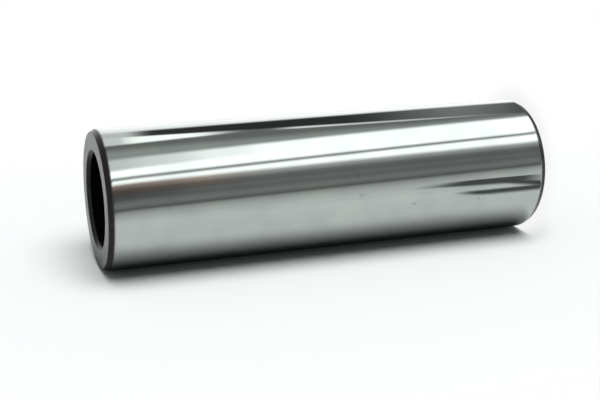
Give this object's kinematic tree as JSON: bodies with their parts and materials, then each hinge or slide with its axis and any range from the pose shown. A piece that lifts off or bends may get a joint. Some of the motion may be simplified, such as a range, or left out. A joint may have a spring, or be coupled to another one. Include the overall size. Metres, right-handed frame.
{
  "type": "piston pin",
  "caption": "Hollow ground steel pin with polished outside, straight through bore, flat end faces and chamfered, blended ends; joins a piston to its connecting rod.",
  "frame": {"origin": "on the pin's axis, in the plane of its lower end face", "axes": "+Z along the pin's axis, from the end it stands on to the other; X and Y are alike, because the pin is round"},
  "size_m": [0.022, 0.022, 0.073],
  "materials": {
    "ground_steel": "polished"
  },
  "bodies": {
    "root": {"piston_pin": "ground_steel"}
  },
  "joints": []
}
